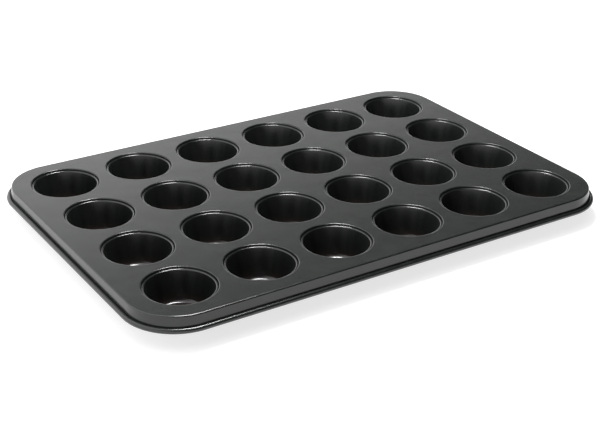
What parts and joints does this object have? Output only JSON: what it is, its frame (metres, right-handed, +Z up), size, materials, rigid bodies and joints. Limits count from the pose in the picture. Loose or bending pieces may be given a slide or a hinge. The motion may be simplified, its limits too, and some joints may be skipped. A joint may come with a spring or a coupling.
{
  "type": "muffin tin",
  "caption": "Flat baking tray with rows of tapered round cups sunk into a dark coated steel plate with round corners, a short skirt and a rolled rim.",
  "frame": {"origin": "middle of the tin's outline, on the surface that the cup floors stand on", "axes": "+X along the long side (rows of six cups), +Y along the short side (columns of four cups), +Z up out of the cup mouths"},
  "size_m": [0.521, 0.356, 0.031],
  "materials": {
    "coated_plate": "satin non-stick coating",
    "coated_cup": "satin non-stick coating",
    "wire_steel": "drawn steel wire"
  },
  "bodies": {
    "root": {"top_plate": "coated_plate", "rim_wire": "wire_steel", "cup_r1c1": "coated_cup", "cup_r1c2": "coated_cup", "cup_r1c3": "coated_cup", "cup_r1c4": "coated_cup", "cup_r1c5": "coated_cup", "cup_r1c6": "coated_cup", "cup_r2c1": "coated_cup", "cup_r2c2": "coated_cup", "cup_r2c3": "coated_cup", "cup_r2c4": "coated_cup", "cup_r2c5": "coated_cup", "cup_r2c6": "coated_cup", "cup_r3c1": "coated_cup", "cup_r3c2": "coated_cup", "cup_r3c3": "coated_cup", "cup_r3c4": "coated_cup", "cup_r3c5": "coated_cup", "cup_r3c6": "coated_cup", "cup_r4c1": "coated_cup", "cup_r4c2": "coated_cup", "cup_r4c3": "coated_cup", "cup_r4c4": "coated_cup", "cup_r4c5": "coated_cup", "cup_r4c6": "coated_cup"}
  },
  "joints": []
}
